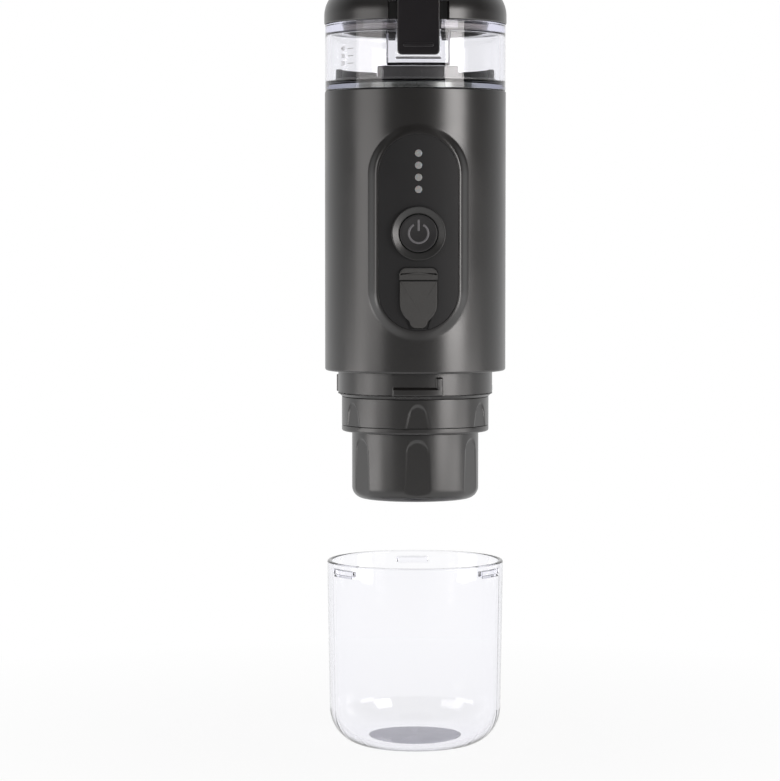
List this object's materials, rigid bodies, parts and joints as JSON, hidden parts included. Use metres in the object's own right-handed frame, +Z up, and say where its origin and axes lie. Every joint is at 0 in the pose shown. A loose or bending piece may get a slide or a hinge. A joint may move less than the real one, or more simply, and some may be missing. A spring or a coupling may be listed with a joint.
{
  "type": "portable espresso maker",
  "caption": "Hand-held capsule espresso maker with a heated clear water tank, hinged lid and latch, battery works and a bayonet cup that stows under it.",
  "frame": {"origin": "centre of the cup's foot, on the surface that the cup stands on", "axes": "+Z up along the machine's and the cup's common axis; the control panel faces -Y; +X to its right"},
  "size_m": [0.0704, 0.076, 0.2956],
  "materials": {
    "body_plastic": "satin, fine moulded grain",
    "panel_plastic": "matt, near black",
    "bezel_plastic": "satin bevel",
    "button_plastic": "satin",
    "latch_plastic": "gloss",
    "led_lens": "diffusing lens",
    "cover_rubber": "matt",
    "clear_plastic": "clear, polished",
    "clear_silicone": "clear, satin",
    "seal_silicone": "satin",
    "hose_silicone": "satin",
    "inner_plastic": "fine grain",
    "stainless": "brushed",
    "board_laminate": "solder resist",
    "cell_sleeve": "shrink sleeve"
  },
  "bodies": {
    "machine": {"battery_cell_1": "cell_sleeve", "battery_cell_2": "cell_sleeve", "battery_cell_3": "cell_sleeve", "board_screws": "stainless", "body_shell": "body_plastic", "brew_collar": "body_plastic", "brew_gasket": "seal_silicone", "button_bezel": "bezel_plastic", "charge_port": "stainless", "chassis": "inner_plastic", "collar_screws": "stainless", "control_board": "board_laminate", "control_panel": "panel_plastic", "heater_plate": "stainless", "hinge_pin": "stainless", "inlet_filter": "inner_plastic", "inlet_hose": "hose_silicone", "led_lenses": "led_lens", "outlet_hose": "hose_silicone", "pierce_plate": "stainless", "port_cover_anchor": "cover_rubber", "pump_head": "inner_plastic", "pump_motor": "stainless", "tact_switch": "inner_plastic", "tank": "clear_plastic", "tank_gasket": "seal_silicone", "tank_lock_ring": "inner_plastic", "top_deck": "inner_plastic"},
    "lid": {"lid": "body_plastic", "lid_liner": "inner_plastic", "lid_gasket": "seal_silicone", "latch_pin": "stainless"},
    "latch": {"latch": "latch_plastic"},
    "power_button": {"power_button": "button_plastic"},
    "port_cover": {"port_cover": "cover_rubber"},
    "holder": {"capsule_holder": "body_plastic", "capsule_basket": "inner_plastic", "outlet_spout": "inner_plastic"},
    "lock_ring": {"lock_ring": "body_plastic"},
    "cup_foot": {"cup_foot": "clear_silicone"},
    "cup": {"cup": "clear_plastic"}
  },
  "joints": [
    {"name": "lid_hinge", "type": "hinge", "parent": "machine", "child": "lid", "pos_m": [0, 0.0369, 0.2798], "axis": [-1, 0, 0], "range_deg": [0, 105]},
    {"name": "latch_swing", "type": "hinge", "parent": "lid", "child": "latch", "pos_m": [0, -0.0332, 0.2886], "axis": [-1, 0, 0], "range_deg": [0, 70]},
    {"name": "button_press", "type": "slide", "parent": "machine", "child": "power_button", "axis": [0, 1, 0], "range_m": [0, 0.0008], "stiffness_N_per_m": 1200, "springref_m": -0.0003},
    {"name": "port_cover_open", "type": "hinge", "parent": "machine", "child": "port_cover", "pos_m": [0, -0.0362, 0.18175], "axis": [-1, 0, 0], "range_deg": [0, 110]},
    {"name": "holder_drop", "type": "slide", "parent": "machine", "child": "holder", "axis": [0, 0, -1], "range_m": [0, 0.018]},
    {"name": "ring_twist", "type": "hinge", "parent": "holder", "child": "lock_ring", "pos_m": [0, 0, 0.1308], "axis": [0, 0, -1], "range_deg": [0, 720]},
    {"name": "cup_lift", "type": "slide", "parent": "machine", "child": "cup_foot", "axis": [0, 0, 1], "range_m": [0, 0.0736]},
    {"name": "cup_twist", "type": "hinge", "parent": "cup_foot", "child": "cup", "pos_m": [0, 0, 0.001], "axis": [0, 0, 1], "range_deg": [0, 60]}
  ],
  "couplings": [
    {"joint": "holder_drop", "follows": "ring_twist", "m_per_rad": 0.0014324}
  ]
}
